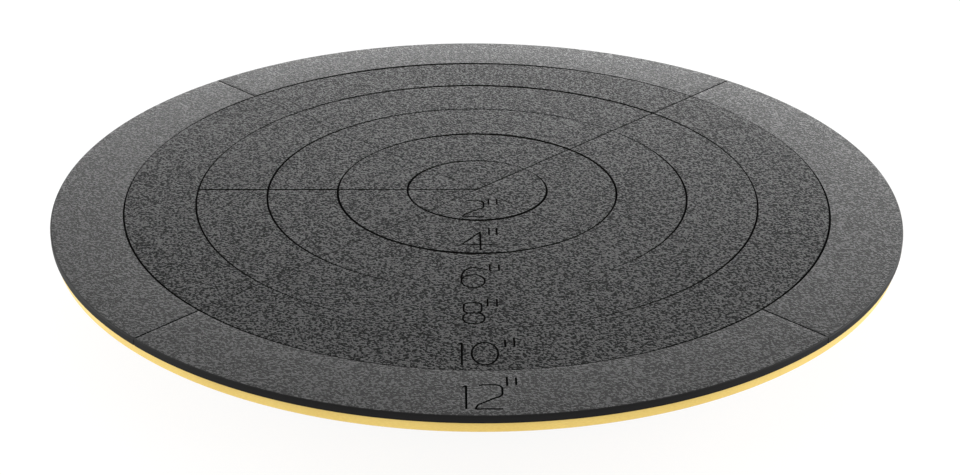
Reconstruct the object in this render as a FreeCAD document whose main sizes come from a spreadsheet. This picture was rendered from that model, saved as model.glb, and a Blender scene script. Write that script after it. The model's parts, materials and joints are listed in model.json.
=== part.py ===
import FreeCAD, Part
import math
import operator
import os

import Sketcher

# Sculpting turntable: a pebbled black work sheet, scored with rings two inches apart,
# on a thin tan board that spins on a square ball bearing above a round base on rubber feet.
# Millimetres, +Z up, origin on the floor under the centre of the disc, numerals towards -Y.

SIZES = [
    ("disc_diameter", 304.8, "work disc, twelve inches"),
    ("ring_step", 25.4, "radius step of the scored rings"),
    ("ring_count", 5, "scored rings inside the rim"),
    ("sheet_thickness", 2.4, "pebbled plastic sheet"),
    ("rim_round", 0.7, "rounding of the sheet's upper edge"),
    ("score_width", 0.6, "width of a scored line"),
    ("score_depth", 0.3, "depth of a scored line"),
    ("diagonal_count", 2, "diagonal scores, square to each other"),
    ("diagonal_angle", 45, "bearing of the first diagonal score"),
    ("board_diameter", 302.8, "tan board under the sheet"),
    ("board_thickness", 3.8, "tan board under the sheet"),
    ("board_ease", 0.4, "eased lower edge of the tan board"),
    ("bearing_side", 152.4, "square bearing plates, six inches"),
    ("bearing_corner", 8.0, "corner radius of the bearing plates"),
    ("bearing_thickness", 7.94, "both plates with the balls between"),
    ("steel", 0.9, "sheet steel of the bearing plates"),
    ("hole_offset", 62.7, "bearing holes from each centre line"),
    ("hole_diameter", 4.8, "holes in the bearing plates"),
    ("shelf_level", 2.6, "ball side of the pressed shelf"),
    ("shelf_radius", 70.0, "outer edge of the pressed shelf"),
    ("bend_radius", 0.6, "inside radius of the pressed bends"),
    ("race_radius", 60.0, "circle that the ball centres run on"),
    ("race_groove", 2.6, "radius of the race's section"),
    ("ball_diameter", 4.76, "bearing ball, three sixteenths"),
    ("ball_clearance", 0.02, "gap between a ball and each race"),
    ("ball_count", 24, "balls in the bearing"),
    ("cage_inner", 54.5, "inner radius of the ball retainer"),
    ("cage_outer", 65.5, "outer radius of the ball retainer"),
    ("cage_thickness", 1.2, "thickness of the ball retainer"),
    ("collar_radius", 51.0, "outside of the rolled collar"),
    ("collar_gap", 0.4, "collar to the upper plate's hole"),
    ("lip_level", 6.54, "underside of the rolled lip"),
    ("lip_radius", 54.6, "outer edge of the rolled lip"),
    ("bolt_diameter", 4.16, "machine screws through the tan board"),
    ("bolt_head", 8.4, "countersunk head of the machine screws"),
    ("bolt_sink", 2.4, "depth of the countersunk heads"),
    ("nut_width", 8.73, "nuts, across the flats"),
    ("nut_thickness", 3.2, "nuts"),
    ("screw_diameter", 4.0, "wood screws"),
    ("screw_head", 8.6, "low round head of the bearing screws"),
    ("screw_head_rise", 1.9, "height of the bearing screws' heads"),
    ("screw_head_edge", 0.6, "upright edge of the bearing screws' heads"),
    ("screw_head_crown", 5.4, "flat crown of the bearing screws' heads"),
    ("screw_length", 11.0, "bearing screws below the head"),
    ("screw_point", 3.0, "length of a wood screw's point"),
    ("base_diameter", 228.6, "base board, nine inches"),
    ("base_thickness", 12.7, "base board, half an inch"),
    ("base_bevel", 1.6, "bevelled edges of the base board"),
    ("access_diameter", 19.0, "hole that lets a spanner reach the nuts"),
    ("foot_offset", 69.3, "feet from each centre line"),
    ("foot_height", 9.5, "rubber foot"),
    ("foot_top", 22.0, "foot diameter against the board"),
    ("foot_bottom", 19.0, "foot diameter at the floor"),
    ("foot_bevel", 1.0, "bevelled lower edge of a foot"),
    ("recess_diameter", 11.0, "recess for the foot's screw"),
    ("recess_depth", 5.0, "recess for the foot's screw"),
    ("washer_diameter", 10.4, "washer in a foot"),
    ("washer_thickness", 1.0, "washer in a foot"),
    ("foot_screw_head", 7.6, "pan head of a foot's screw"),
    ("foot_screw_rise", 2.5, "height of the pan head"),
    ("foot_screw_bevel", 1.2, "bevelled crown of the pan head"),
    ("foot_screw_length", 13.6, "foot's screw below the head"),
]

CORNERS = 4
NUT_SIDES = 6
NUT_SLOPE = math.tan(math.radians(30))
FULL_TURN = 360
FLAT_OVER = 180
SAME_PLACE = 0.01
SAME_VOLUME = 0.01

document = FreeCAD.newDocument("SculptingTurntable")
sheet = document.addObject("Spreadsheet::Sheet", "Sizes")
for row, (alias, number, note) in enumerate(SIZES, start=1):
    sheet.set(f"A{row}", note)
    sheet.set(f"B{row}", str(number))
    sheet.setAlias(f"B{row}", alias)
document.recompute()


class Size:
    """A number together with the spreadsheet expression that gives it."""

    def __init__(self, number, text):
        self.number = number
        self.text = text

    def joined(self, other, sign, work, swap=False):
        other = as_size(other)
        first, second = (other, self) if swap else (self, other)
        return Size(work(first.number, second.number), f"({first.text} {sign} {second.text})")

    def __add__(self, other):
        return self.joined(other, "+", operator.add)

    def __sub__(self, other):
        return self.joined(other, "-", operator.sub)

    def __rsub__(self, other):
        return self.joined(other, "-", operator.sub, swap=True)

    def __mul__(self, other):
        return self.joined(other, "*", operator.mul)

    __radd__ = __add__
    __rmul__ = __mul__

    def __neg__(self):
        return Size(-self.number, f"(-{self.text})")

    def __truediv__(self, other):
        return self.joined(other, "/", operator.truediv)

    def root(self):
        return Size(math.sqrt(self.number), f"sqrt({self.text})")


def as_size(value):
    return value if isinstance(value, Size) else Size(value, repr(value))


def cell(alias):
    return Size(float(sheet.get(alias)), f"Sizes.{alias}")


# Levels above the floor, worked out from the driving sizes.
base_bottom = cell("foot_height")
base_top = base_bottom + cell("base_thickness")
board_bottom = base_top + cell("bearing_thickness")
sheet_bottom = board_bottom + cell("board_thickness")
sheet_top = sheet_bottom + cell("sheet_thickness")
ball_level = cell("bearing_thickness") / 2


def bind(item, path, size):
    """Drive one property of an object from the spreadsheet."""
    item.setExpression(path, as_size(size).text)


def new_body(label):
    body = document.addObject("PartDesign::Body", label)
    body.Label = label
    return body


def origin_item(body, role):
    for item in body.Origin.OriginFeatures:
        if item.Role == role:
            return item
    raise RuntimeError(f"{body.Label} has no {role}")


def new_sketch(body, name, role, across=0, level=0, turn=0):
    """A sketch on one of the body's own planes, shifted along the plane or off it."""
    sketch = body.newObject("Sketcher::SketchObject", name)
    sketch.AttachmentSupport = [(origin_item(body, role), "")]
    sketch.MapMode = "FlatFace"
    if across:
        bind(sketch, "AttachmentOffset.Base.x", across)
    if level:
        bind(sketch, "AttachmentOffset.Base.z", level)
    if turn:
        sketch.AttachmentOffset.Rotation = FreeCAD.Rotation(FreeCAD.Vector(0, 1, 0), 1)
        bind(sketch, "AttachmentOffset.Rotation.Angle", turn)
    return sketch


def pin(sketch, geometry, point, place, ways=(0, 1)):
    """Hold a sketch point at a place, its coordinates taken from the spreadsheet."""
    for way in ways:
        size = as_size(place[way])
        if size.number == 0:
            axis = (-2, -1)[way]
            sketch.addConstraint(Sketcher.Constraint("PointOnObject", geometry, point, axis))
        else:
            kind = ("DistanceX", "DistanceY")[way]
            index = sketch.addConstraint(
                Sketcher.Constraint(kind, -1, 1, geometry, point, size.number))
            bind(sketch, f"Constraints[{index}]", size)


def vector(place):
    return FreeCAD.Vector(as_size(place[0]).number, as_size(place[1]).number, 0)


def outline(sketch, corners):
    """A closed outline of (x, y) corners.

    A third entry, (centre x, centre y, clockwise), makes the edge that starts there an arc."""
    count = len(corners)
    ends = []
    for index, corner in enumerate(corners):
        start = vector(corner)
        end = vector(corners[(index + 1) % count])
        if len(corner) == 2:
            number = sketch.addGeometry(Part.LineSegment(start, end))
            ends.append((number, 1, 2))
            continue
        centre = vector(corner[2])
        clockwise = corner[2][2]
        low, high = (end, start) if clockwise else (start, end)
        low_angle = math.atan2(low.y - centre.y, low.x - centre.x)
        high_angle = math.atan2(high.y - centre.y, high.x - centre.x)
        whole = Part.Circle(centre, FreeCAD.Vector(0, 0, 1), start.distanceToPoint(centre))
        number = sketch.addGeometry(Part.ArcOfCircle(whole, low_angle, high_angle))
        pin(sketch, number, 3, corner[2])
        ends.append((number, 2, 1) if clockwise else (number, 1, 2))
    for index, corner in enumerate(corners):
        geometry, head, tail = ends[index]
        following, next_head, _ = ends[(index + 1) % count]
        sketch.addConstraint(Sketcher.Constraint("Coincident", geometry, tail, following, next_head))
        before = corners[index - 1]
        if len(before) == 2:
            pin(sketch, geometry, head, corner)
        else:
            # The arc that ends here already fixes one of the two coordinates.
            spoke = vector(corner) - vector(before[2])
            free_way = 0 if abs(spoke.y) > abs(spoke.x) else 1
            pin(sketch, geometry, head, corner, ways=(free_way,))


def circle(sketch, place, diameter):
    centre = vector(place)
    radius = as_size(diameter) / 2
    number = sketch.addGeometry(Part.Circle(centre, FreeCAD.Vector(0, 0, 1), radius.number))
    pin(sketch, number, 3, place)
    index = sketch.addConstraint(Sketcher.Constraint("Radius", number, radius.number))
    bind(sketch, f"Constraints[{index}]", radius)


def square(sketch, side):
    """A square about the sketch's origin."""
    half = as_size(side) / 2
    reach = half.number
    places = [(reach, reach), (-reach, reach), (-reach, -reach), (reach, -reach)]
    for index in range(CORNERS):
        start = FreeCAD.Vector(*places[index], 0)
        end = FreeCAD.Vector(*places[(index + 1) % CORNERS], 0)
        sketch.addGeometry(Part.LineSegment(start, end))
    for index in range(CORNERS):
        following = (index + 1) % CORNERS
        sketch.addConstraint(Sketcher.Constraint("Coincident", index, 2, following, 1))
        kind = "Vertical" if index % 2 else "Horizontal"
        sketch.addConstraint(Sketcher.Constraint(kind, index))
    sketch.addConstraint(Sketcher.Constraint("Symmetric", 0, 1, 2, 1, -1, 1))
    pin(sketch, 0, 1, (half, half))


def pad(body, sketch, length, name="Pad"):
    feature = body.newObject("PartDesign::Pad", name)
    feature.Profile = sketch
    bind(feature, "Length", length)
    return feature


def pocket(body, sketch, name="Pocket", length=None, reversed_=False, both_ways=False):
    feature = body.newObject("PartDesign::Pocket", name)
    feature.Profile = sketch
    if length is None:
        feature.Type = "ThroughAll"
    else:
        bind(feature, "Length", length)
    feature.Reversed = reversed_
    if both_ways:
        feature.SideType = "Symmetric"
    return feature


def revolve(body, sketch, kind="Revolution", name=None):
    feature = body.newObject(f"PartDesign::{kind}", name or kind)
    feature.Profile = sketch
    feature.ReferenceAxis = (sketch, ["V_Axis"])
    feature.Angle = FULL_TURN
    return feature


def around(body, features, count, turn=FULL_TURN, name="Around"):
    """Repeat features evenly about the body's vertical axis."""
    pattern = body.newObject("PartDesign::PolarPattern", name)
    pattern.Originals = features
    pattern.Axis = (origin_item(body, "Z_Axis"), [""])
    pattern.Angle = turn
    bind(pattern, "Occurrences", count)
    body.Tip = pattern
    return pattern


def rounded(body, base, radius, wanted, kind="Fillet", name=None):
    """Round or bevel the edges of a feature that the test picks out."""
    document.recompute()
    edges = [f"Edge{number}" for number, edge in enumerate(base.Shape.Edges, start=1) if wanted(edge)]
    if not edges:
        raise RuntimeError(f"{body.Label}: no edge to treat on {base.Name}")
    feature = body.newObject(f"PartDesign::{kind}", name or kind)
    feature.Base = (base, edges)
    bind(feature, "Size" if kind == "Chamfer" else "Radius", radius)
    return feature


def is_ring(radius, level):
    """Test for a round edge about the vertical axis."""
    def test(edge):
        curve = edge.Curve
        return (isinstance(curve, Part.Circle)
                and abs(curve.Radius - as_size(radius).number) < SAME_PLACE
                and abs(curve.Center.z - as_size(level).number) < SAME_PLACE)
    return test


def any_of(*tests):
    return lambda edge: any(test(edge) for test in tests)


def is_upright_corner(edge):
    """Test for the four upright corners of the bearing's square blank, not its round hole."""
    ends = edge.Vertexes
    if len(ends) != 2 or math.hypot(ends[0].X - ends[1].X, ends[0].Y - ends[1].Y) > SAME_PLACE:
        return False
    return math.hypot(ends[0].X, ends[0].Y) > cell("bearing_side").number / 2


def hole_sketch(body, name):
    """A sketch whose vertical axis runs through the first bearing hole."""
    offset = cell("hole_offset")
    return new_sketch(body, name, "XZ_Plane", across=offset, level=-offset)


# --- The turning disc ---------------------------------------------------------------------

def make_top_sheet():
    """The black work sheet with its scored rings and diagonals."""
    body = new_body("top_sheet")
    radius = cell("disc_diameter") / 2
    blank = new_sketch(body, "DiscOutline", "XY_Plane", level=sheet_bottom)
    circle(blank, (0, 0), cell("disc_diameter"))
    disc = pad(body, blank, cell("sheet_thickness"), "Disc")
    rounded(body, disc, cell("rim_round"), is_ring(radius, sheet_top), name="RimRound")

    half_width = cell("score_width") / 2
    bottom = sheet_top - cell("score_depth")
    rings = new_sketch(body, "RingSections", "XZ_Plane")
    for number in range(1, int(cell("ring_count").number) + 1):
        ring = number * cell("ring_step")
        outline(rings, [(ring - half_width, sheet_top), (ring, bottom), (ring + half_width, sheet_top)])
    revolve(body, rings, "Groove", "Rings")

    # Each diagonal is one straight V cut right across the disc.
    diagonal = new_sketch(body, "DiagonalSection", "XZ_Plane", turn=cell("diagonal_angle"))
    shifted_score(diagonal, half_width, bottom)
    cut = pocket(body, diagonal, "Diagonal", length=2 * cell("disc_diameter"), both_ways=True)
    around(body, [cut], cell("diagonal_count"), turn=FULL_TURN / CORNERS, name="Diagonals")

    # The diagonals carry on down the rim as small V notches. A right-angled V that points
    # at the centre along a diagonal has its sides parallel to the sketch's axes.
    notch = new_sketch(body, "RimNotch", "XY_Plane", level=sheet_bottom)
    tip = (radius - cell("score_depth")) / as_size(2).root()
    outside = (radius + cell("score_depth")) / as_size(2).root()
    outline(notch, [(tip, tip), (outside, tip), (outside, outside), (tip, outside)])
    nick = pocket(body, notch, "RimNotchCut", length=cell("sheet_thickness"), reversed_=True)
    around(body, [nick], CORNERS, name="RimNotches")

    # One more score runs from the centre to the left, as far as the fourth ring.
    spoke = new_sketch(body, "SpokeSection", "YZ_Plane")
    shifted_score(spoke, half_width, bottom)
    pocket(body, spoke, "Spoke", length=(cell("ring_count") - 1) * cell("ring_step"))
    return body


def shifted_score(sketch, half_width, bottom):
    """The V section of a straight score, symmetric about the sketch's vertical axis."""
    reach = half_width.number
    top = sheet_top.number
    points = [FreeCAD.Vector(-reach, top, 0), FreeCAD.Vector(0, bottom.number, 0),
              FreeCAD.Vector(reach, top, 0)]
    for index in range(3):
        sketch.addGeometry(Part.LineSegment(points[index], points[(index + 1) % 3]))
    for index in range(3):
        sketch.addConstraint(Sketcher.Constraint("Coincident", index, 2, (index + 1) % 3, 1))
    sketch.addConstraint(Sketcher.Constraint("Symmetric", 0, 1, 2, 1, -2))
    pin(sketch, 1, 1, (0, bottom))
    pin(sketch, 2, 1, (half_width, sheet_top))


def make_backing_board():
    """The thin tan board, countersunk for the machine screws."""
    body = new_body("backing_board")
    radius = cell("board_diameter") / 2
    blank = new_sketch(body, "BoardOutline", "XY_Plane", level=board_bottom)
    circle(blank, (0, 0), cell("board_diameter"))
    board = pad(body, blank, cell("board_thickness"), "Board")
    rounded(body, board, cell("board_ease"), is_ring(radius, board_bottom), "Chamfer", "EasedEdge")
    section = hole_sketch(body, "ScrewHoleSection")
    screw_hole = revolve(body, bolt_section(section, board_bottom), "Groove", "ScrewHole")
    around(body, [screw_hole], CORNERS, name="ScrewHoles")
    return body


def bolt_section(sketch, lowest):
    """Half the section of a countersunk machine screw whose head is level with the board's top."""
    shank = cell("bolt_diameter") / 2
    head = cell("bolt_head") / 2
    neck = sheet_bottom - cell("bolt_sink")
    outline(sketch, [(0, lowest), (shank, lowest), (shank, neck), (head, sheet_bottom), (0, sheet_bottom)])
    return sketch


def make_board_screws():
    body = new_body("board_screws")
    end = board_bottom - cell("steel") - cell("nut_thickness")
    screw = revolve(body, bolt_section(hole_sketch(body, "ScrewSection"), end), name="Screw")
    around(body, [screw], CORNERS, name="Screws")
    return body


def make_board_nuts():
    body = new_body("board_nuts")
    level = board_bottom - cell("steel") - cell("nut_thickness")
    offset = cell("hole_offset")
    nut = body.newObject("PartDesign::AdditivePrism", "Nut")
    nut.AttachmentSupport = [(origin_item(body, "XY_Plane"), "")]
    nut.MapMode = "FlatFace"
    nut.Polygon = NUT_SIDES
    bind(nut, "Circumradius", cell("nut_width") / as_size(3).root())
    bind(nut, "Height", cell("nut_thickness"))
    bind(nut, "AttachmentOffset.Base.x", offset)
    bind(nut, "AttachmentOffset.Base.y", offset)
    bind(nut, "AttachmentOffset.Base.z", level)
    bore = new_sketch(body, "BoreOutline", "XY_Plane", level=level)
    circle(bore, (offset, offset), cell("bolt_diameter"))
    thread = pocket(body, bore, "Bore", length=cell("nut_thickness"), reversed_=True)

    # The lower corners are turned off at the slope that leaves a round face.
    flat = cell("nut_width") / 2
    outside = 2 * flat
    section = hole_sketch(body, "CornerSection")
    outline(section, [(flat, level), (outside, level), (outside, level + (outside - flat) * NUT_SLOPE)])
    turned = revolve(body, section, "Groove", "TurnedCorners")
    around(body, [nut, thread, turned], CORNERS, name="Nuts")
    return body


# --- The bearing --------------------------------------------------------------------------

def make_bearing_plate(label, rolled_collar):
    """A square steel plate pressed to a round shelf that holds the ball race.

    The plate is drawn with its flat face down and the ball side up. The lower plate's
    inner edge is drawn up into a collar and rolled out over the upper plate's edge."""
    body = new_body(label)
    steel = cell("steel")
    rise = cell("shelf_level") - steel
    rim = cell("shelf_radius") + rise
    bend_shift = (as_size(2).root() - 1) * steel

    blank = new_sketch(body, "PlateOutline", "XY_Plane")
    square(blank, cell("bearing_side"))
    circle(blank, (0, 0), 2 * rim)
    plate = pad(body, blank, steel, "Plate")
    rounded(body, plate, cell("bearing_corner"), is_upright_corner, name="PlateCorners")

    hole = new_sketch(body, "HoleOutline", "XY_Plane")
    circle(hole, (cell("hole_offset"), cell("hole_offset")), cell("hole_diameter"))
    drilled = pocket(body, hole, "Hole", length=steel, reversed_=True)
    around(body, [drilled], CORNERS, name="Holes")

    race = cell("race_radius")
    top = cell("shelf_level")
    under = top - steel
    groove = cell("race_groove")
    centre_level = ball_level - cell("ball_diameter") / 2 - cell("ball_clearance") + groove
    inner_reach = (groove * groove - (centre_level - top) * (centre_level - top)).root()
    outer_groove = groove + steel
    outer_reach = (outer_groove * outer_groove
                   - (centre_level - under) * (centre_level - under)).root()
    centre = (race, centre_level)
    ball_side = [(rim, steel), (cell("shelf_radius"), top),
                 (race + inner_reach, top, (*centre, True)), (race - inner_reach, top)]
    flat_side = [(race - outer_reach, under, (*centre, False)), (race + outer_reach, under),
                 (cell("shelf_radius") - bend_shift, under), (rim - bend_shift, 0), (rim, 0)]
    collar = cell("collar_radius")
    if rolled_collar:
        lip = cell("lip_level")
        inner_edge = [(collar, top), (collar, lip), (cell("lip_radius"), lip),
                      (cell("lip_radius"), lip + steel), (collar - steel, lip + steel),
                      (collar - steel, under)]
    else:
        opening = collar + cell("collar_gap")
        inner_edge = [(opening, top), (opening, under)]
    section = new_sketch(body, "PressedSection", "XZ_Plane")
    outline(section, ball_side + inner_edge + flat_side)
    pressed = revolve(body, section, name="PressedShelf")

    bend = cell("bend_radius")
    inside = any_of(is_ring(rim, steel), is_ring(cell("shelf_radius") - bend_shift, under))
    outside = any_of(is_ring(cell("shelf_radius"), top), is_ring(rim - bend_shift, 0))
    pressed = rounded(body, pressed, bend, inside, name="InsideBends")
    pressed = rounded(body, pressed, bend + steel, outside, name="OutsideBends")
    if rolled_collar:
        rolled = any_of(is_ring(collar - steel, lip + steel), is_ring(collar - steel, under))
        rounded(body, pressed, steel, rolled, name="RolledBends")
    return body


def ball_sketch(body, name):
    """Half a ball's section, drawn on the axis of the first ball."""
    sketch = new_sketch(body, name, "XZ_Plane", across=cell("race_radius"))
    radius = cell("ball_diameter") / 2
    level = base_top + ball_level
    outline(sketch, [(0, level - radius, (0, level, False)), (0, level + radius)])
    return sketch


def make_bearing_balls():
    body = new_body("bearing_balls")
    ball = revolve(body, ball_sketch(body, "BallSection"), name="Ball")
    around(body, [ball], cell("ball_count"), name="Balls")
    return body


def make_ball_retainer():
    """The thin plastic ring that keeps the balls apart, round their middles."""
    body = new_body("ball_retainer")
    inner = cell("cage_inner")
    outer = cell("cage_outer")
    low = base_top + ball_level - cell("cage_thickness") / 2
    high = low + cell("cage_thickness")
    section = new_sketch(body, "RingSection", "XZ_Plane")
    outline(section, [(inner, low), (outer, low), (outer, high), (inner, high)])
    revolve(body, section, name="Ring")
    seat = new_sketch(body, "BallPocketOutline", "XY_Plane", level=low)
    circle(seat, (cell("race_radius"), 0), cell("ball_diameter") + 2 * cell("ball_clearance"))
    ball_pocket = pocket(body, seat, "BallPocket", length=cell("cage_thickness"), reversed_=True)
    around(body, [ball_pocket], cell("ball_count"), name="BallPockets")
    return body


def make_bearing_screws():
    """Low round-headed wood screws that hold the lower plate to the base board."""
    body = new_body("bearing_screws")
    seat = base_top + cell("steel")
    shank = cell("screw_diameter") / 2
    end = seat - cell("screw_length")
    head = cell("screw_head") / 2
    crown = seat + cell("screw_head_rise")
    section = hole_sketch(body, "ScrewSection")
    outline(section, [(0, end), (shank, end + cell("screw_point")), (shank, seat), (head, seat),
                      (head, seat + cell("screw_head_edge")), (cell("screw_head_crown") / 2, crown),
                      (0, crown)])
    screw = revolve(body, section, name="Screw")
    around(body, [screw], CORNERS, name="Screws")
    return body


# --- The base -----------------------------------------------------------------------------

def make_base_board():
    """The round base board, drilled for the bearing's and the feet's screws."""
    body = new_body("base_board")
    radius = cell("base_diameter") / 2
    blank = new_sketch(body, "BaseOutline", "XY_Plane", level=base_bottom)
    circle(blank, (0, 0), cell("base_diameter"))
    board = pad(body, blank, cell("base_thickness"), "Base")
    edges = any_of(is_ring(radius, base_bottom), is_ring(radius, base_top))
    rounded(body, board, cell("base_bevel"), edges, "Chamfer", "EdgeBevels")

    # The access hole lies under the path of the upper plate's nuts.
    reach = cell("hole_offset") * as_size(2).root()
    access = new_sketch(body, "AccessOutline", "XY_Plane", level=base_bottom)
    circle(access, (0, reach), cell("access_diameter"))
    pocket(body, access, "AccessHole", length=cell("base_thickness"), reversed_=True)

    shank = cell("screw_diameter") / 2
    end = base_top + cell("steel") - cell("screw_length")
    upper = hole_sketch(body, "UpperPilotSection")
    outline(upper, [(0, end), (shank, end + cell("screw_point")), (shank, base_top), (0, base_top)])
    upper_pilot = revolve(body, upper, "Groove", "UpperPilot")
    around(body, [upper_pilot], CORNERS, name="UpperPilots")

    end = foot_screw_seat() + cell("foot_screw_length")
    lower = foot_sketch(body, "LowerPilotSection")
    outline(lower, [(0, base_bottom), (shank, base_bottom), (shank, end - cell("screw_point")), (0, end)])
    lower_pilot = revolve(body, lower, "Groove", "LowerPilot")
    around(body, [lower_pilot], CORNERS, name="LowerPilots")
    return body


def foot_sketch(body, name):
    """A sketch whose vertical axis runs through the first foot."""
    offset = cell("foot_offset")
    return new_sketch(body, name, "XZ_Plane", across=offset, level=-offset)


def foot_screw_seat():
    """Level of the face that a foot screw's head pulls against."""
    return cell("recess_depth") - cell("washer_thickness")


def make_foot(label, side_x, side_y):
    """A tapered rubber foot, recessed for its washer and screw."""
    body = new_body(label)
    top = cell("foot_top") / 2
    bottom = cell("foot_bottom") / 2
    recess = cell("recess_diameter") / 2
    bore = cell("screw_diameter") / 2
    height = cell("foot_height")
    depth = cell("recess_depth")
    section = new_sketch(body, "FootSection", "XZ_Plane")
    outline(section, [(recess, 0), (bottom, 0), (top, height), (bore, height),
                      (bore, depth), (recess, depth)])
    turned = revolve(body, section, name="Foot")
    rounded(body, turned, cell("foot_bevel"), is_ring(bottom, 0), "Chamfer", "FloorBevel")
    bind(body, "Placement.Base.x", side_x * cell("foot_offset"))
    bind(body, "Placement.Base.y", side_y * cell("foot_offset"))
    return body


def make_foot_washers():
    body = new_body("foot_washers")
    bore = cell("screw_diameter") / 2
    rim = cell("washer_diameter") / 2
    high = cell("recess_depth")
    low = foot_screw_seat()
    section = foot_sketch(body, "WasherSection")
    outline(section, [(bore, low), (rim, low), (rim, high), (bore, high)])
    washer = revolve(body, section, name="Washer")
    around(body, [washer], CORNERS, name="Washers")
    return body


def make_foot_screws():
    body = new_body("foot_screws")
    seat = foot_screw_seat()
    shank = cell("screw_diameter") / 2
    head = cell("foot_screw_head") / 2
    crown = seat - cell("foot_screw_rise")
    bevel = cell("foot_screw_bevel")
    end = seat + cell("foot_screw_length")
    section = foot_sketch(body, "ScrewSection")
    outline(section, [(0, crown), (head - bevel, crown), (head, crown + bevel), (head, seat),
                      (shank, seat), (shank, end - cell("screw_point")), (0, end)])
    screw = revolve(body, section, name="Screw")
    around(body, [screw], CORNERS, name="Screws")
    return body


make_top_sheet()
make_backing_board()
make_board_screws()
make_board_nuts()

upper_plate = make_bearing_plate("bearing_upper_plate", rolled_collar=False)
upper_plate.Placement.Rotation = FreeCAD.Rotation(FreeCAD.Vector(1, 0, 0), FLAT_OVER)
bind(upper_plate, "Placement.Base.z", board_bottom)
lower_plate = make_bearing_plate("bearing_lower_plate", rolled_collar=True)
bind(lower_plate, "Placement.Base.z", base_top)
make_bearing_balls()
make_ball_retainer()
make_bearing_screws()

make_base_board()
make_foot("foot_front_left", -1, -1)
make_foot("foot_front_right", 1, -1)
make_foot("foot_back_left", -1, 1)
make_foot("foot_back_right", 1, 1)
make_foot_washers()
make_foot_screws()

# --- Check and write ----------------------------------------------------------------------

document.recompute()
for item in document.Objects:
    if "Invalid" in item.State or "Error" in item.State:
        raise RuntimeError(f"{item.Label} failed: {item.State}")

# A cut that points away from the solid removes nothing and reports no error.
for item in document.Objects:
    if item.TypeId in ("PartDesign::Pocket", "PartDesign::Groove", "PartDesign::PolarPattern"):
        before = item.BaseFeature.Shape.Volume
        if abs(item.Shape.Volume - before) < SAME_VOLUME:
            raise RuntimeError(f"{item.Label} changed nothing")

bodies = [item for item in document.Objects if item.TypeId == "PartDesign::Body"]
os.makedirs("parts", exist_ok=True)
for body in bodies:
    shape = body.Shape
    if shape.isNull() or not shape.isValid():
        raise RuntimeError(f"{body.Label} has no valid shape")
    box = shape.BoundBox
    print(f"{body.Label:22s} solids {len(shape.Solids):3d}  volume {shape.Volume:12.2f} mm3"
          f"  x {box.XMin:8.2f} {box.XMax:8.2f}  y {box.YMin:8.2f} {box.YMax:8.2f}"
          f"  z {box.ZMin:6.2f} {box.ZMax:6.2f}")
    shape.exportStep(f"parts/{body.Label}.step")
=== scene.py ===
# %% [markdown]
# # Finishing a sculpting turntable
#
# A sculptor's turntable is a flat disc that spins on a ball bearing above a small base.
# The engineering model already holds every piece at its real size. This notebook gives the
# pieces their finish: pebbled black plastic, a sealed tan board, galvanised steel, rubber.
# The first cell loads the model as a fixed frame, in metres, with +Z up.

# %% Load the frame
import json
import math
import bmesh
import bpy
from mathutils import Matrix, Vector


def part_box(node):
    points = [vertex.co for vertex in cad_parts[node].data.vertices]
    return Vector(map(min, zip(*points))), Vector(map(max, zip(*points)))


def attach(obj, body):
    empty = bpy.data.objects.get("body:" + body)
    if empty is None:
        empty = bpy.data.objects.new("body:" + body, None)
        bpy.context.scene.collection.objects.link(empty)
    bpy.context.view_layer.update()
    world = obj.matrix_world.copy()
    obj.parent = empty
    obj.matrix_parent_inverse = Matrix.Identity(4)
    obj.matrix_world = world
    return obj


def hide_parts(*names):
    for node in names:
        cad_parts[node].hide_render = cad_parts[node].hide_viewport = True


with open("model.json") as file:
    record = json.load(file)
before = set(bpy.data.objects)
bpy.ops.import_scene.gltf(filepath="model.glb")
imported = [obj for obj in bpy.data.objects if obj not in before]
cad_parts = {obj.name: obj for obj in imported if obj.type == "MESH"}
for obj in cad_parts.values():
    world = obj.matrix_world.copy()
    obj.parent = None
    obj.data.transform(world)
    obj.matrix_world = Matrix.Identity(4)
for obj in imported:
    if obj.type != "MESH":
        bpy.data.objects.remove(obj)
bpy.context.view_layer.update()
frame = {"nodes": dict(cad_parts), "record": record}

MM = 0.001
INCH = 0.0254
print("pieces in the frame:", len(frame["nodes"]))

# %% [markdown]
# Positions come from the frame, not from guesses. The work sheet's box gives the disc's
# radius and the height of the working face, which most of the cells below need. The
# engineering mesh has flat sides, so its box is a hair wider one way than the other: the
# narrower way is used, and the finished disc stays inside the box all round.

# %% Read the main sizes
sheet_low, sheet_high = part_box("top_sheet")
board_low, board_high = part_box("backing_board")
disc_radius = min(sheet_high.x, sheet_high.y, -sheet_low.x, -sheet_low.y)
face_level = sheet_high.z
board_radius = board_high.x
print(f"disc {2 * disc_radius / INCH:.1f} in across, face {face_level / MM:.2f} mm up")

# %% [markdown]
# ## The camera
#
# The turntable is seen from a little above, from the user's side, by a medium telephoto
# lens. The camera is given by where it stands and what it looks at, both measured from the
# centre of the working face. The disc stands turned by one degree, so the camera is
# walked round by one degree the other way: the object itself is never moved.

# %% Place the camera
DISC_TURN = math.radians(1.0)
CAMERA_STAND = Vector((0.0, -0.5702, 0.2693))
CAMERA_AIM = Vector((0.0011, -0.0389, 0.0))
CAMERA_ROLL = math.radians(0.43)
CAMERA_LENS = 64.67


def seen_from_disc(place):
    """A place given along the view, moved into the disc's own frame."""
    return Matrix.Rotation(-DISC_TURN, 3, "Z") @ place + Vector((0, 0, face_level))


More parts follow.
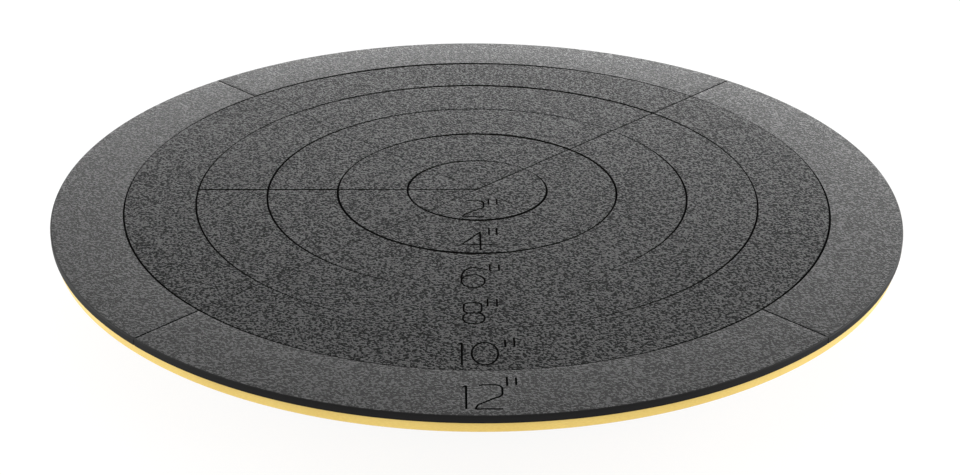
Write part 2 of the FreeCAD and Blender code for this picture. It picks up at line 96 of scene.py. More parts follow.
stand = seen_from_disc(CAMERA_STAND)
forward = (seen_from_disc(CAMERA_AIM) - stand).normalized()
level_right = forward.cross(Vector((0, 0, 1))).normalized()
level_up = level_right.cross(forward)
right = level_right * math.cos(CAMERA_ROLL) + level_up * math.sin(CAMERA_ROLL)
up = right.cross(forward)
camera_data = bpy.data.cameras.new("camera")
camera_data.lens = CAMERA_LENS
camera_data.sensor_width = 36
camera = bpy.data.objects.new("camera", camera_data)
bpy.context.collection.objects.link(camera)
camera.matrix_world = Matrix.Translation(stand) @ Matrix((right, up, -forward)).transposed().to_4x4()
bpy.context.scene.camera = camera
bpy.context.scene.view_settings.view_transform = "Standard"
print(f"camera {stand.length:.3f} m away")

# %% [markdown]
# ## Writing shader maths
#
# Node trees are easier to read as formulas. `Wire` wraps one output socket, so that
# `1 - mask` or `a * b` adds the Math nodes. `Finish` starts a material, and its `node`
# method adds any other node: settings first, then the values or wires of its inputs.

# %% A small language for materials
class Wire:
    """One output of a shader tree; arithmetic on it adds Math nodes."""

    def __init__(self, finish, socket):
        self.finish = finish
        self.socket = socket

    def math(self, operation, first, second):
        return self.finish.node("ShaderNodeMath", {"operation": operation}, {0: first, 1: second})

    def __add__(self, other):
        return self.math("ADD", self, other)

    def __sub__(self, other):
        return self.math("SUBTRACT", self, other)

    def __rsub__(self, other):
        return self.math("SUBTRACT", other, self)

    def __mul__(self, other):
        return self.math("MULTIPLY", self, other)

    def __truediv__(self, other):
        return self.math("DIVIDE", self, other)

    __radd__ = __add__
    __rmul__ = __mul__

    def ramp(self, start, end):
        """0 below start, 1 above end, even in between."""
        return self.finish.node("ShaderNodeClamp", {}, {"Value": (self - start) / (end - start)})


class Finish:
    """A material, or a world, and its node tree."""

    def __init__(self, owner):
        self.owner = owner
        owner.use_nodes = True
        self.tree = owner.node_tree
        self.tree.nodes.clear()

    def node(self, kind, settings, inputs, output=0):
        """Add any node: its settings first, then the values or wires of its sockets."""
        made = self.tree.nodes.new(kind)
        for name, value in settings.items():
            setattr(made, name, value)
        for key, value in inputs.items():
            if isinstance(value, Wire):
                self.tree.links.new(value.socket, made.inputs[key])
            else:
                made.inputs[key].default_value = value
        return None if output is None else Wire(self, made.outputs[output])

    def place(self):
        """The point being shaded, in metres, in the piece's own frame."""
        return self.node("ShaderNodeTexCoord", {}, {}, "Object")

    def height(self):
        return self.node("ShaderNodeSeparateXYZ", {}, {0: self.place()}, "Z")

    def radius(self):
        """How far the point is from the turntable's axis."""
        flat = self.node("ShaderNodeVectorMath", {"operation": "MULTIPLY"}, {
            0: self.place(), 1: (1, 1, 0)})
        return self.node("ShaderNodeVectorMath", {"operation": "LENGTH"}, {0: flat}, "Value")

    def noise(self, cell, detail=2.0, stretch=(1, 1, 1)):
        """Soft random blotches, one to each cell of this width, from 0 to 1."""
        place = self.node("ShaderNodeMapping", {}, {"Vector": self.place(), "Scale": stretch})
        return self.node("ShaderNodeTexNoise", {}, {
            "Vector": place, "Scale": 1 / cell, "Detail": detail})

    def colour(self, red, green, blue):
        return self.node("ShaderNodeCombineColor", {}, {0: red, 1: green, 2: blue})

    def colour_between(self, share, first, second):
        return self.node("ShaderNodeMix", {"data_type": "RGBA"}, {0: share, 6: first, 7: second}, 2)

    def bump(self, height, depth):
        """Surface normals for a height map from 0 to 1 that is this deep."""
        return self.node("ShaderNodeBump", {}, {"Height": height, "Distance": depth})

    def plain_shader(self, **inputs):
        """A Principled shader, with its sockets named in words."""
        words = {"specular": "Specular IOR Level", "coat_ior": "Coat IOR"}
        named = {}
        for key, value in inputs.items():
            named[words.get(key, key.replace("_", " ").title())] = value
        return self.node("ShaderNodeBsdfPrincipled", {}, named)

    def shader_between(self, share, first, second):
        return self.node("ShaderNodeMixShader", {}, {0: share, 1: first, 2: second})

    def done(self, shader):
        """Join the last shader to the output of the material or the world."""
        is_world = isinstance(self.owner, bpy.types.World)
        kind = "ShaderNodeOutputWorld" if is_world else "ShaderNodeOutputMaterial"
        self.node(kind, {}, {"Surface": shader}, None)
        return self.owner


def new_finish(name):
    return Finish(bpy.data.materials.new(name))


def grey(level):
    return (level, level, level, 1.0)


print("shader helpers ready")

# %% [markdown]
# ## Floor and light
#
# The object stands on a white table in a white room. A floor that is lit strongly enough to
# look pure white would need far too much light on the object. Instead the floor glows for
# camera, mirror and glass rays only, mixed with a little of its plain shaded self, so the
# shadow stays and the object is lit at a plain level.

# %% The floor
FLOOR_SIZE = 6.0
FLOOR_GLOW = 0.88
FLOOR_STRENGTH = 1.04
FLOOR_WHITE = 0.8


def rays_that_see(finish):
    """1 for rays from the camera, a mirror or glass, 0 for the light that bounces about."""
    seen = None
    for ray in ("Is Camera Ray", "Is Glossy Ray", "Is Transmission Ray"):
        wire = finish.node("ShaderNodeLightPath", {}, {}, ray)
        seen = wire if seen is None else seen.math("MAXIMUM", seen, wire)
    return seen


def floor_finish():
    finish = new_finish("white_table")
    plain = finish.node("ShaderNodeBsdfDiffuse", {}, {"Color": grey(FLOOR_WHITE)})
    glow = finish.node("ShaderNodeEmission", {}, {"Color": grey(1.0), "Strength": FLOOR_STRENGTH})
    return finish.done(finish.shader_between(rays_that_see(finish) * FLOOR_GLOW, plain, glow))


def floor_sheet():
    shape = bmesh.new()
    bmesh.ops.create_grid(shape, x_segments=1, y_segments=1, size=FLOOR_SIZE / 2)
    mesh = bpy.data.meshes.new("floor")
    shape.to_mesh(mesh)
    shape.free()
    floor = bpy.data.objects.new("floor", mesh)
    bpy.context.collection.objects.link(floor)
    mesh.materials.append(floor_finish())


floor_sheet()
print(f"floor {FLOOR_SIZE} m square")

# %% [markdown]
# The room light is an even white. A weak soft box hangs overhead, and three more stand low
# behind the disc and at its sides. Black plastic shows little of its own colour: what the
# eye sees is the light glancing off its domes, so the lamps are placed low and not strong.

# %% The lamps and the room
ROOM_LIGHT = 1.0
SOFT_BOXES = [
    # name, place, width, height, watts
    ("overhead", (0.0, 0.3, 1.5), 1.2, 1.2, 0.2),
    ("behind", (0.25, 0.75, 0.2), 1.6, 0.2, 7.0),
    ("left_side", (-1.1, 0.3, 0.35), 0.5, 0.4, 7.0),
    ("right_side", (1.1, 0.3, 0.35), 0.5, 0.4, 9.0),
]


def room():
    world = bpy.data.worlds.new("room")
    bpy.context.scene.world = world
    finish = Finish(world)
    seen = rays_that_see(finish)
    finish.done(finish.node("ShaderNodeBackground", {}, {
        "Color": grey(1.0), "Strength": seen + (1 - seen) * ROOM_LIGHT}))


def soft_box(name, place, width, height, watts):
    data = bpy.data.lights.new(name, "AREA")
    data.shape = "RECTANGLE"
    data.size = width
    data.size_y = height
    data.energy = watts
    lamp = bpy.data.objects.new(name, data)
    bpy.context.collection.objects.link(lamp)
    lamp.location = place
    aim = Vector((0, 0, face_level)) - Vector(place)
    lamp.rotation_euler = aim.to_track_quat("-Z", "Y").to_euler()


room()
for box in SOFT_BOXES:
    soft_box(*box)
print("soft boxes:", ", ".join(box[0] for box in SOFT_BOXES))

# %% [markdown]
# ## Making turned pieces
#
# Most pieces of a turntable are round. `turned_shape` spins half a section about a vertical
# axis, as a lathe would, with far more steps than the engineering mesh has, so the rim
# stays smooth when it is seen close up. `carve` takes cutters out of a piece by one exact
# boolean, then welds the piece and marks its sharp edges again, the new ones included.

# %% Lathe and carving helpers
WELD = 1e-6
CREASE = 35


def section_arc(centre, radius, start, end, steps):
    """Points along an arc of a section, angles in degrees from +X."""
    points = []
    for step in range(steps + 1):
        angle = math.radians(start + (end - start) * step / steps)
        points.append((centre[0] + radius * math.cos(angle), centre[1] + radius * math.sin(angle)))
    return points


def turned_shape(section, steps, centre=(0, 0)):
    """Spin a section of (radius, height) points once about a vertical axis."""
    shape = bmesh.new()
    corners = [shape.verts.new((radius, 0, height)) for radius, height in section]
    edges = [shape.edges.new(pair) for pair in zip(corners, corners[1:])]
    bmesh.ops.spin(shape, geom=corners + edges, cent=(0, 0, 0), axis=(0, 0, 1),
                   angle=2 * math.pi, steps=steps, use_merge=True)
    bmesh.ops.remove_doubles(shape, verts=shape.verts, dist=WELD)
    bmesh.ops.translate(shape, verts=shape.verts, vec=(centre[0], centre[1], 0))
    bmesh.ops.recalc_face_normals(shape, faces=shape.faces)
    return shape


def shade_smooth(shape, crease):
    """Shade a shape smooth, except where it bends by more than the crease, in degrees."""
    for face in shape.faces:
        face.smooth = True
    for edge in shape.edges:
        edge.smooth = len(edge.link_faces) == 2 and edge.calc_face_angle(0) < math.radians(crease)


def as_piece(shape, name, crease=CREASE):
    """Turn a bmesh into a smoothly shaded object."""
    shade_smooth(shape, crease)
    mesh = bpy.data.meshes.new(name)
    shape.to_mesh(mesh)
    shape.free()
    piece = bpy.data.objects.new(name, mesh)
    bpy.context.collection.objects.link(piece)
    return piece


def finish_piece(piece, material, body, slot, *nodes):
    """Give a piece its material and its body, and hide the engineering nodes it stands for."""
    piece.data.materials.clear()
    piece.data.materials.append(material)
    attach(piece, body)
    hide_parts(*nodes)
    print(f"{piece.name}: {len(piece.data.polygons)} faces on {body}")


def welded_shape(mesh, reach=WELD):
    """A bmesh of a mesh, with points closer than the reach made one."""
    shape = bmesh.new()
    shape.from_mesh(mesh)
    bmesh.ops.remove_doubles(shape, verts=shape.verts, dist=reach)
    return shape


def worked_out_mesh(thing):
    """The mesh that an object has once its modifiers, or a curve's thickness, are applied."""
    return bpy.data.meshes.new_from_object(
        thing.evaluated_get(bpy.context.evaluated_depsgraph_get()))


def carve(piece, cutters, crease=CREASE):
    """Cut solid cutters out of a piece, throw the cutters away and tidy the cut edges."""
    group = bpy.data.collections.new("cutters")
    bpy.context.scene.collection.children.link(group)
    for cutter in cutters:
        for home in cutter.users_collection:
            home.objects.unlink(cutter)
        group.objects.link(cutter)
    cut = piece.modifiers.new("carve", "BOOLEAN")
    cut.operand_type = "COLLECTION"
    cut.collection = group
    cut.operation = "DIFFERENCE"
    cut.solver = "EXACT"
    cut.use_self = True
    result = worked_out_mesh(piece)
    piece.modifiers.remove(cut)
    piece.data = result
    for cutter in cutters:
        bpy.data.objects.remove(cutter)
    bpy.data.collections.remove(group)
    shape = welded_shape(piece.data)
    shade_smooth(shape, crease)
    shape.to_mesh(piece.data)
    shape.free()


print("lathe and carving helpers ready")

# %% [markdown]
# ## The work sheet
#
# The sheet is cut from pebbled plastic and scored by a fine V-shaped tool: five rings at
# every inch of radius, two diagonals, and one more line to the left. The rings are cut by a
# right-angled V, which leaves a line twice as wide as it is deep, so where the tool bites
# less the line is thinner too. They are part of the section that is spun: it has a V at every
# inch, and all round each ring the V's points are then moved to follow the tool's bite.

# %% The ring scores
SHEET_STEPS = 288
SCORE_DEPTH = 0.5 * MM
SCORE_REACH = 1.5 * SCORE_DEPTH
RIM_ROUND = 0.7 * MM
RING_COUNT = 5
ROUND_STEPS = 5
LEAST_BITE = 0.05
RING_BITE = (1.0, 1.0, 0.85, 0.85, 0.90)
STROKES = [
    # where the hand bore down or eased off: ring, bearing and spread in degrees, change of bite
    (1, 45, 40, -0.65), (1, 205, 25, -0.30), (1, 280, 35, 0.40),
    (2, 78, 28, 0.60), (2, 152, 24, -0.50), (2, 264, 16, 0.50), (2, 320, 38, -0.35),
    (3, 48, 26, -0.50), (3, 278, 42, -0.85),
    (4, 82, 32, 0.70), (4, 12, 20, -0.35), (4, 155, 22, -0.40), (4, 262, 46, -0.70),
    (5, 27, 26, -0.75), (5, 98, 24, 0.70), (5, 165, 20, -0.60), (5, 268, 46, -0.60),
]


def sheet_section():
    points = [(0.0, face_level)]
    for ring in range(1, RING_COUNT + 1):
        radius = ring * INCH
        points.append((radius - SCORE_DEPTH, face_level))
        points.append((radius, face_level - SCORE_DEPTH))
        points.append((radius + SCORE_DEPTH, face_level))
    centre = (disc_radius - RIM_ROUND, face_level - RIM_ROUND)
    points += section_arc(centre, RIM_ROUND, 90, 0, ROUND_STEPS)
    points += [(disc_radius, sheet_low.z), (0.0, sheet_low.z)]
    return points


def tool_bite(ring, bearing):
    """How deeply the tool bites at a bearing on a ring, as a share of the usual depth."""
    bite = RING_BITE[ring - 1]
    for stroke_ring, middle, spread, change in STROKES:
        if stroke_ring == ring:
            away = (bearing - middle + 180) % 360 - 180
            bite += change * math.exp(-(away / spread) ** 2)
    return max(LEAST_BITE, bite)


def vary_rings(shape):
    """Make each ring's V wider and deeper, or less so, as the tool bit."""
    for vert in shape.verts:
        radius = vert.co.xy.length
        ring = round(radius / INCH)
        shift = radius - ring * INCH
        if 0 < ring <= RING_COUNT and abs(shift) < SCORE_REACH:
            bite = tool_bite(ring, math.degrees(math.atan2(vert.co.y, vert.co.x)))
            vert.co.xy *= (ring * INCH + shift * bite) / radius
            vert.co.z = face_level - (face_level - vert.co.z) * bite


disc_shape = turned_shape(sheet_section(), SHEET_STEPS)
vary_rings(disc_shape)
work_sheet = as_piece(disc_shape, "work_sheet")
print("disc faces:", len(work_sheet.data.polygons))

# %% [markdown]
# Straight scores are cut by long three-sided cutters laid along them, point down. Each
# starts as one triangle and is extruded to its length. The line to the left is a right-angled
# V in two widths. The two diagonals are made as four half-lines from the centre, because each
# was pressed differently. They are scored lightly with a much flatter V, a little deeper in
# the outer band, and they nick the rim at their ends.

# %% Cut the straight scores
DIAGONALS = [
    # bearing in degrees, depth
    (45, 0.07 * MM), (135, 0.035 * MM), (225, 0.040 * MM), (315, 0.030 * MM),
]
FAINT_WIDTH = 1.1 * MM
BAND_WIDTH = 0.8 * MM
BAND_DEPTH = 0.13 * MM
NICK_DEPTH = 0.3 * MM
PAST_RIM = 1.0 * MM
SPOKE_BEARING = 180
SPOKE = [
    # start, end, width
    (0, 2 * INCH, 0.70 * MM), (2 * INCH, 4 * INCH, 1.0 * MM),
]
outer_band = RING_COUNT * INCH
rim_end = disc_radius + PAST_RIM


def score_cutter(start, end, bearing, width, depth):
    """A V cutter along a line through the centre, from one radius to another.

    It is twice as tall as the score is deep, so it stands clear of the face, and the score
    has the given width where the V passes through the face.
    """
    shape = bmesh.new()
    tip = face_level - depth
    top = tip + 2 * depth
    corners = [(start, -width, top), (start, 0, tip), (start, width, top)]
    face = shape.faces.new([shape.verts.new(corner) for corner in corners])
    return extruded_cutter(shape, face, (end - start, 0, 0), bearing)


def nick_cutter(bearing):
    """An upright V cutter that nicks the rim at the end of a diagonal."""
    shape = bmesh.new()
    tip = disc_radius - NICK_DEPTH
    corners = [(tip, 0), (tip + PAST_RIM, PAST_RIM), (tip + PAST_RIM, -PAST_RIM)]
    foot = sheet_low.z - PAST_RIM
    face = shape.faces.new([shape.verts.new((x, y, foot)) for x, y in corners])
    return extruded_cutter(shape, face, (0, 0, sheet_high.z - sheet_low.z + 2 * PAST_RIM), bearing)


def extruded_cutter(shape, face, way, bearing):
    """Extrude a cutter's end face, then turn the cutter about the disc's axis."""
    grown = bmesh.ops.extrude_face_region(shape, geom=[face])
    moved = [item for item in grown["geom"] if isinstance(item, bmesh.types.BMVert)]
    bmesh.ops.translate(shape, verts=moved, vec=way)
    turn = Matrix.Rotation(math.radians(bearing), 3, "Z")
    bmesh.ops.rotate(shape, verts=shape.verts, cent=(0, 0, 0), matrix=turn)
    bmesh.ops.recalc_face_normals(shape, faces=shape.faces)
    return as_piece(shape, "cutter")


cutters = [score_cutter(start, end, SPOKE_BEARING, width, width / 2) for start, end, width in SPOKE]
for bearing, depth in DIAGONALS:
    cutters.append(score_cutter(-PAST_RIM, outer_band, bearing, FAINT_WIDTH, depth))
    cutters.append(score_cutter(outer_band, rim_end, bearing, BAND_WIDTH, BAND_DEPTH))
    cutters.append(nick_cutter(bearing))
print("straight cutters:", len(cutters))

# %% [markdown]
# The numerals are written with single strokes, like the lettering on a drawing. Each figure
# is a few lines and arcs in a box about one unit wide and one unit tall. A stroke becomes a
# round wire laid half in the face, and the wire is then cut out of the sheet. The marks for
# inches are two short upright strokes after each figure.

# %% Draw the numerals
CORNER_STEPS = 6


def sweep(cx, cy, rx, ry, start, end, steps=14):
    """Points along part of an ellipse, angles in degrees."""
    points = []
    for step in range(steps + 1):
        angle = math.radians(start + (end - start) * step / steps)
        points.append((cx + rx * math.cos(angle), cy + ry * math.sin(angle)))
    return points


def rounded_loop(left, bottom, right, top, rx, ry):
    """A closed loop with straight sides and rounded corners."""
    points = sweep(right - rx, top - ry, rx, ry, 90, 0, CORNER_STEPS)
    points += sweep(right - rx, bottom + ry, rx, ry, 0, -90, CORNER_STEPS)
    points += sweep(left + rx, bottom + ry, rx, ry, -90, -180, CORNER_STEPS)
    points += sweep(left + rx, top - ry, rx, ry, 180, 90, CORNER_STEPS)
    return points + points[:1]


FIGURES = {
    "0": [sweep(0.5, 0.5, 0.5, 0.5, 90, 450, 28)],
    "1": [[(0.2, 0.92), (0.5, 1.0)], [(0.5, 1.0), (0.5, 0.0)]],
    "2": [[(0.15, 0.97), (0.32, 1.0)] + sweep(0.72, 0.84, 0.28, 0.16, 90, 0)
          + sweep(0.66, 0.64, 0.34, 0.18, -10, -70) + [(0.1, 0.17), (0.0, 0.0)],
          [(0.0, 0.0), (1.0, 0.0)]],
    "4": [[(0.54, 0.0), (0.54, 1.0)], [(0.54, 1.0), (0.0, 0.33)], [(0.0, 0.33), (1.0, 0.33)]],
    "6": [[(1.12, 0.88)] + sweep(0.55, 0.5, 0.55, 0.5, 70, 180) + [(0.0, 0.32)],
          sweep(0.5, 0.32, 0.5, 0.32, 90, 450, 24)],
    "8": [rounded_loop(0.04, 0.5, 0.88, 1.0, 0.22, 0.16),
          rounded_loop(0.0, 0.0, 1.0, 0.5, 0.34, 0.24)],
    "|": [[(0.5, 0.0), (0.5, 1.0)]],
}

LETTERING = [
    # figure, left edge, top edge, width, height, in millimetres from the disc's centre
    ("2", -5.5, -9.4, 7.6, 13.3), ("|", 3.4, -8.3, 1.0, 4.6), ("|", 6.4, -8.3, 1.0, 4.6),
    ("4", -5.9, -34.7, 11.8, 13.9), ("|", 3.1, -31.8, 1.0, 5.2), ("|", 5.8, -31.8, 1.0, 5.2),
    ("6", -6.2, -61.0, 7.7, 14.1), ("|", 2.8, -58.9, 1.0, 4.6), ("|", 5.9, -58.9, 1.0, 4.6),
    ("8", -5.9, -85.3, 6.9, 13.3), ("|", 1.6, -82.8, 1.0, 5.0), ("|", 4.6, -82.8, 1.0, 5.0),
    ("1", -8.2, -110.6, 3.6, 13.4), ("0", -3.4, -110.4, 8.1, 13.4),
    ("|", 6.5, -108.8, 1.0, 4.6), ("|", 9.3, -107.6, 1.0, 5.6),
    ("1", -7.1, -135.6, 3.6, 12.8), ("2", -2.7, -135.2, 8.1, 13.2),
    ("|", 6.4, -130.8, 1.0, 5.0), ("|", 9.1, -131.1, 1.0, 4.2),
]
STROKE = 0.35 * MM
STROKE_ROUNDING = 2
STROKE_WELD = 1e-7


def stroke_cutter(points):
    """A round wire along a stroke, lying half in the working face."""
    curve = bpy.data.curves.new("stroke", "CURVE")
    curve.dimensions = "3D"
    curve.bevel_depth = STROKE
    curve.bevel_resolution = STROKE_ROUNDING
    curve.use_fill_caps = True
    closed = (Vector(points[0]) - Vector(points[-1])).length < WELD
    if closed:
        points = points[:-1]
    spline = curve.splines.new("POLY")
    spline.points.add(len(points) - 1)
    for point, (x, y) in zip(spline.points, points):
        point.co = (x, y, face_level, 1)
    spline.use_cyclic_u = closed
    drawn = bpy.data.objects.new("stroke", curve)
    bpy.context.collection.objects.link(drawn)
    shape = welded_shape(worked_out_mesh(drawn), STROKE_WELD)
    bpy.data.objects.remove(drawn)
    bmesh.ops.recalc_face_normals(shape, faces=shape.faces)
    return as_piece(shape, "stroke_cutter")


for figure, left, top, width, height in LETTERING:
    for stroke in FIGURES[figure]:
        placed = [((left + width * x) * MM, (top - height * (1 - y)) * MM) for x, y in stroke]
        cutters.append(stroke_cutter(placed))
print("cutters with the numerals:", len(cutters))

# %% [markdown]
# All the cutters go into one boolean, so the sheet is cut once and not once for each of them.
# A cut that went wrong could leave loose edges, so they are counted afterwards.

# %% Carve the sheet
carve(work_sheet, cutters)
loose = [edge for edge in work_sheet.data.edges if edge.is_loose]
print("work sheet faces:", len(work_sheet.data.polygons), "loose edges:", len(loose))

# %% [markdown]
# The pebbled skin is pressed into the plastic while it is hot: domes under a millimetre
# across that catch the light, and hollows between them. Real domes would cost millions of
# faces, so one noise drives a bump map, the colour, and the mix of two shaders: the dome's
# top and the hollow. The colour and the mix are painted light: the tops are painted lighter
# and reflect more, a painted highlight, and the hollows darker, a painted shade. The outer
# band carries a thin haze, which makes it paler than the middle. Whatever lies below the skin
# in a groove or a numeral is painted shade: flat near-black, without reflection or pebbles.
# Round the rim it is cut plastic instead: darker, and without the pebbles.

# %% The pebbled plastic
PEBBLE = 0.75 * MM
PEBBLE_DEPTH = 1.8 * MM
PEBBLE_FOOT = 0.46  # the noise value where a dome starts
PEBBLE_CROWN = 0.58  # and where it has its full height
CUT_START = 0.005 * MM
CUT_END = 0.05 * MM
BAND_BLUR = 0.3 * MM
# painted shade: the black of the hollows between the domes, darker than the plastic's average
HOLLOW_SHADE_TONE = 0.002
# painted highlight: the dome tops are painted lighter by this much
DOME_HIGHLIGHT_TONE = 0.030
HAZE_TONE = 0.034
HAZE_COAT = 0.05
# painted shade in the grooves and numerals: a flat near-black
GROOVE_SHADE_TONE = 0.004
SAWN_TONE = 0.003


def pebbled_plastic():
    finish = new_finish("pebbled_black_plastic")
    radius = finish.radius()
    # what lies below the face; inside the rim it gets the painted shade of the grooves
    cut = (face_level - finish.height()).ramp(CUT_START, CUT_END)
    outer = radius.ramp(outer_band - BAND_BLUR, outer_band + BAND_BLUR)
    rim = radius.ramp(disc_radius - RIM_ROUND - BAND_BLUR, disc_radius - RIM_ROUND)
    pebbles = finish.noise(PEBBLE, 1.0).ramp(PEBBLE_FOOT, PEBBLE_CROWN)
    # painted highlight on the domes and painted shade in the hollows, plus the outer band's paler
    # haze
    tone = HOLLOW_SHADE_TONE + pebbles * DOME_HIGHLIGHT_TONE + outer * HAZE_TONE
    shared = {
        "base_color": finish.colour(tone, tone, tone), "roughness": 0.4,
        "normal": finish.bump(pebbles, PEBBLE_DEPTH),
        "coat_weight": outer * HAZE_COAT, "coat_roughness": 0.4, "coat_ior": 1.6,
    }
    # a shaded and a lit copy of one shader: the top reflects more, a painted highlight
    hollow = finish.plain_shader(specular=0.02, **shared)
    top = finish.plain_shader(specular=0.10, **shared)
    # painted shade in the grooves and numerals: near-black, with no reflection at all
    scored = finish.plain_shader(base_color=grey(GROOVE_SHADE_TONE), roughness=0.5, specular=0.0)
    sawn = finish.plain_shader(base_color=grey(SAWN_TONE), roughness=0.6, specular=0.2)
    skin = finish.shader_between(pebbles, hollow, top)
    bare = finish.shader_between(rim, scored, sawn)
    return finish.done(finish.shader_between(cut, skin, bare))


finish_piece(work_sheet, pebbled_plastic(), "turntable", "work_sheet", "top_sheet")

# %% [markdown]
# ## The tan board
#
# Under the plastic lies a thin board of pressed wood fibre, sealed on its edge with a clear
# coat. The fibres show as fine flecks, drawn out along the board by squeezing the noise in
# height, over wide soft blotches. The lower edge is eased, as it would be by sandpaper.

# %% The sealed board
FLECK = 1 * MM
FLECK_SQUEEZE = (1, 1, 6)
FLECK_DEPTH = 0.05 * MM
BLOTCH = 28 * MM
BOARD_EASE = 0.4 * MM


def sealed_board(name, light, dark):
    finish = new_finish(name)
    flecks = finish.noise(FLECK, 3.0, stretch=FLECK_SQUEEZE)
    blotches = finish.noise(BLOTCH)
    share = (flecks * 0.6 + blotches * 0.4).ramp(0.3, 0.7)
    return finish.done(finish.plain_shader(
        base_color=finish.colour_between(share, dark, light), roughness=0.34 + flecks * 0.16,
        coat_weight=0.25, coat_roughness=0.2, normal=finish.bump(flecks, FLECK_DEPTH)))


tan_board_finish = sealed_board("sealed_tan_board", (0.90, 0.66, 0.17, 1), (0.76, 0.52, 0.11, 1))


def backing_board():
    section = [
        (0.0, board_high.z), (board_radius, board_high.z),
        (board_radius, board_low.z + BOARD_EASE), (board_radius - BOARD_EASE, board_low.z),
        (0.0, board_low.z),
    ]
    return as_piece(turned_shape(section, SHEET_STEPS), "tan_board")


tan_board = backing_board()
print("tan board faces:", len(tan_board.data.polygons))

# %% [markdown]
# Four machine screws hang the board on the bearing. Their heads are sunk level with its top,
# so that the plastic lies flat on it. A drill and a countersink make each hole in one go,
# so one turned cutter has the shape of both.

# %% Sink the board's screw holes
BOLT_HEAD = 4.2 * MM
BOLT_SHANK = 2.08 * MM
BOLT_SINK = 2.4 * MM
BOLT_ROOM = 0.05 * MM
DRILL_STEPS = 64
CORNERS = [(1, 1), (-1, 1), (-1, -1), (1, -1)]


def countersink(x, y):
    """A drill and its countersink, as one turned cutter."""
    head = BOLT_HEAD + BOLT_ROOM
    shank = BOLT_SHANK + BOLT_ROOM
    above = board_high.z + BOLT_ROOM
    below = board_low.z - BOLT_ROOM
    section = [(0, above), (head, above), (head, board_high.z),
               (shank, board_high.z - BOLT_SINK), (shank, below), (0, below)]
    return as_piece(turned_shape(section, DRILL_STEPS, centre=(x, y)), "cutter")


bolt_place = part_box("board_screws")[1].x - BOLT_HEAD
carve(tan_board, [countersink(x * bolt_place, y * bolt_place) for x, y in CORNERS])
finish_piece(tan_board, tan_board_finish, "turntable", "tan_board", "backing_board")

# %% [markdown]
# ## Steel, nylon and rubber
#
# Below the tan board the finishes are plainer. Galvanised steel has a spangle, the random
# flat crystals of its zinc, which a Voronoi texture draws. The small hardware is bright zinc,
# the balls are polished, the retainer is nylon and the feet are rubber. Two functions with a
# few numbers each are enough for those.

# %% Metal and rubber finishes
SPANGLES_PER_METRE = 160.0


def galvanised():
    finish = new_finish("galvanised_steel")
    cells = finish.node("ShaderNodeTexVoronoi", {"feature": "F1"}, {
        "Vector": finish.place(), "Scale": SPANGLES_PER_METRE}, "Color")
    spangle = finish.node("ShaderNodeSeparateColor", {}, {0: cells})
    scratches = finish.noise(1.2 * MM, 4.0)
    tone = 0.50 + spangle * 0.14 + scratches * 0.06
    return finish.done(finish.plain_shader(
        base_color=finish.colour(tone, tone * 1.01, tone * 1.03), metallic=1.0,
        roughness=0.30 + spangle * 0.16 + scratches * 0.08,
        normal=finish.bump(scratches, 0.01 * MM)))


def plated(name, tone, rough):
    finish = new_finish(name)
    streaks = finish.noise(1.6 * MM, 3.0)
    level = tone * (0.9 + streaks * 0.2)
    return finish.done(finish.plain_shader(
        base_color=finish.colour(level, level * 0.99, level * 0.95), metallic=1.0,
        roughness=rough + streaks * 0.12, normal=finish.bump(streaks, 0.004 * MM)))


def moulded(name, tone, rough, bump):
    finish = new_finish(name)
    specks = finish.noise(1 * MM, 3.0)
    level = specks * 0.3 + finish.noise(12 * MM) * 0.3 + 0.7
    red, green, blue = tone
    return finish.done(finish.plain_shader(
        base_color=finish.colour(level * red, level * green, level * blue),
        roughness=rough + specks * 0.1, normal=finish.bump(specks, bump)))


finishes = {
    "galvanised_plate": galvanised(),
    "zinc_hardware": plated("bright_zinc", 0.62, 0.24),
    "ball_steel": plated("polished_steel", 0.72, 0.05),
    "retainer_plastic": moulded("natural_nylon", (0.74, 0.71, 0.62), 0.4, 0.02 * MM),
    "foot_rubber": moulded("black_rubber", (0.022, 0.022, 0.023), 0.62, 0.05 * MM),
    "base_board": sealed_board("sealed_base_board", (0.66, 0.46, 0.20, 1), (0.52, 0.34, 0.13, 1)),
}
print("finishes:", ", ".join(finishes))

# %% [markdown]
# The engineering shapes of the bearing are already right. Their meshes come as loose
# triangles, so each is copied, welded and shaded smooth, and the copy stands for the node.
# The record in the frame says which finish and which body each node has.

# %% Weld and smooth the engineering meshes
HARDWARE_CREASE = 28
MADE_AGAIN = ("top_sheet", "backing_board")
slots = {part["node"]: part["material_slot"] for part in frame["record"]["subparts"]}
bodies = frame["record"]["behaviour"]["bodies"]
body_of = {node: body for body, nodes in bodies.items() for node in nodes}


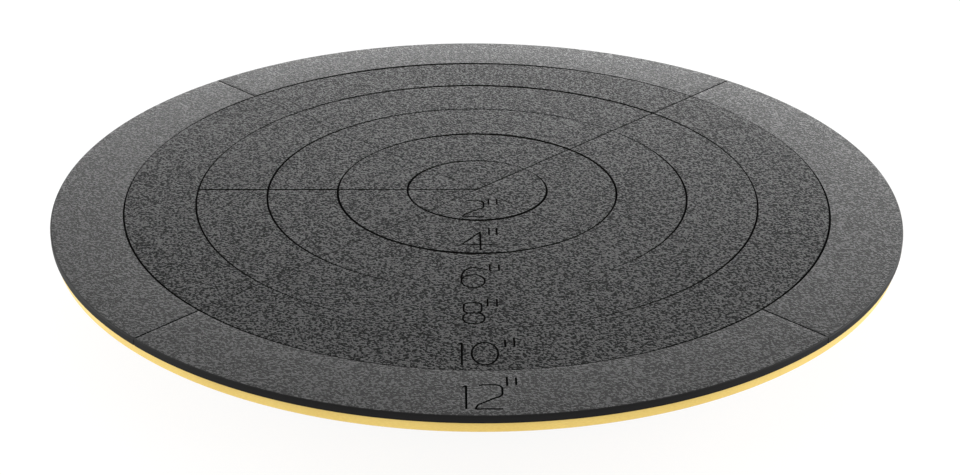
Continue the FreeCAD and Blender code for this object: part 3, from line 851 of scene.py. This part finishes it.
def welded_copy(node):
    shape = welded_shape(frame["nodes"][node].data)
    return as_piece(shape, node + "_finished", HARDWARE_CREASE)


hardware = {node: welded_copy(node) for node in frame["nodes"] if node not in MADE_AGAIN}
print("welded copies:", len(hardware))

# %% [markdown]
# Every screw's head is struck with a cross for the driver while the wire is still plain. Each
# arm of the cross is a wedge: narrower and shorter at the bottom, so the driver centres
# itself. The heads face up, except those of the feet's screws, which face the table.

# %% Strike the cross recesses
CROSS_LENGTH = 4.6 * MM
CROSS_WIDTH = 1.0 * MM
CROSS_DEPTH = 1.4 * MM
CROSS_TAPER = 0.45
SAME_LEVEL = 1e-7
HEADS = [
    # node, head radius, way into the head
    ("board_screws", BOLT_HEAD, -1),
    ("bearing_screws", 4.3 * MM, -1),
    ("foot_screws", 3.8 * MM, 1),
]


def cross_arm(x, y, crown, inward, bearing):
    """A wedge let into a screw's head from its crown."""
    shape = bmesh.new()
    mouth = -inward * BOLT_ROOM
    bottom = inward * CROSS_DEPTH
    half = CROSS_WIDTH / 2
    corners = [(-half, mouth), (half, mouth), (half, bottom), (-half, bottom)]
    face = shape.faces.new([shape.verts.new((-CROSS_LENGTH / 2, side, z)) for side, z in corners])
    wedge = extruded_cutter(shape, face, (CROSS_LENGTH, 0, 0), bearing)
    for corner in wedge.data.vertices:
        if abs(corner.co.z - bottom) < SAME_LEVEL:
            corner.co = (corner.co.x * CROSS_TAPER, corner.co.y * CROSS_TAPER, corner.co.z)
        corner.co += Vector((x, y, crown))
    return wedge


for node, head_radius, inward in HEADS:
    low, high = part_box(node)
    place = high.x - head_radius
    crown = high.z if inward < 0 else low.z
    arms = []
    for x, y in CORNERS:
        for bearing in (0, 90):
            arms.append(cross_arm(x * place, y * place, crown, inward, bearing))
    carve(hardware[node], arms, HARDWARE_CREASE)
    print(f"{node}: {len(arms)} arms struck")

# %% [markdown]
# Each copy gets the finish that its slot in the record names, and rides on its node's body.

# %% Finish the engineering pieces
for node, piece in hardware.items():
    finish_piece(piece, finishes[slots[node]], body_of[node], slots[node], node)
